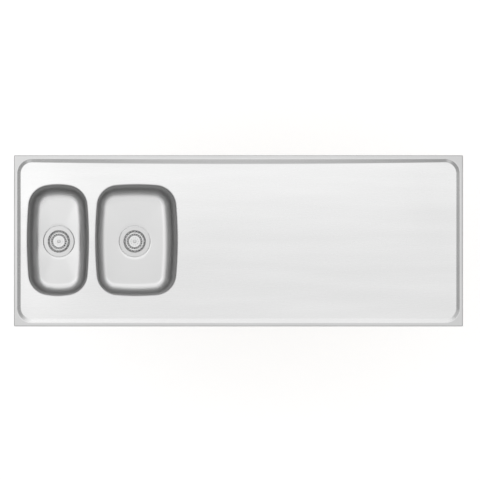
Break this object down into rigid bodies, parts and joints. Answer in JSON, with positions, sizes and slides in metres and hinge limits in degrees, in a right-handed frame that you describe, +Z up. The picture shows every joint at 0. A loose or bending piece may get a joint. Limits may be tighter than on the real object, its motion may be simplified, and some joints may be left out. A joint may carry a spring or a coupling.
{
  "type": "kitchen sink worktop",
  "caption": "Long stainless steel sink top with raised rim, pressed main and half bowls at one end, wide plain drainer and lift-out basket strainers.",
  "frame": {"origin": "middle of the 1600 by 610 mm footprint, on the plane of the folded edge's underside, which rests on the cabinets", "axes": "+X along the worktop to the right as seen from the front, with the bowls at -X; +Y towards the wall; +Z up"},
  "size_m": [1.6, 0.61, 0.2495],
  "materials": {
    "steel": "satin, fine lengthways grain",
    "polished_steel": "polished",
    "board": "moisture-proof chipboard with sealed faces",
    "damping_pad": "matt bitumen pad",
    "rubber": "matt",
    "waste_plastic": "moulded, semi-matt",
    "nylon": "moulded",
    "brass": "bright",
    "zinc": "zinc plated, dull"
  },
  "bodies": {
    "sink_top": {"steel_top": "steel", "core_board": "board", "half_bowl": "steel", "main_bowl": "steel", "half_bowl_pads": "damping_pad", "main_bowl_pads": "damping_pad", "fixing_angles": "zinc", "fixing_screws": "zinc", "half_strainer_cup": "polished_steel", "half_flange_gasket": "rubber", "half_body_gasket": "rubber", "half_waste_body": "waste_plastic", "half_clamp_bolt": "brass", "main_strainer_cup": "polished_steel", "main_flange_gasket": "rubber", "main_body_gasket": "rubber", "main_waste_body": "waste_plastic", "main_clamp_bolt": "brass"},
    "half_basket_set": {"half_basket": "polished_steel", "half_basket_seal": "rubber", "half_basket_pin": "nylon", "half_basket_knob": "polished_steel"},
    "main_basket_set": {"main_basket": "polished_steel", "main_basket_seal": "rubber", "main_basket_pin": "nylon", "main_basket_knob": "polished_steel"}
  },
  "joints": [
    {"name": "half_basket_lift", "type": "slide", "parent": "sink_top", "child": "half_basket_set", "axis": [0, 0, 1], "range_m": [0, 0.24]},
    {"name": "main_basket_lift", "type": "slide", "parent": "sink_top", "child": "main_basket_set", "axis": [0, 0, 1], "range_m": [0, 0.24]}
  ]
}
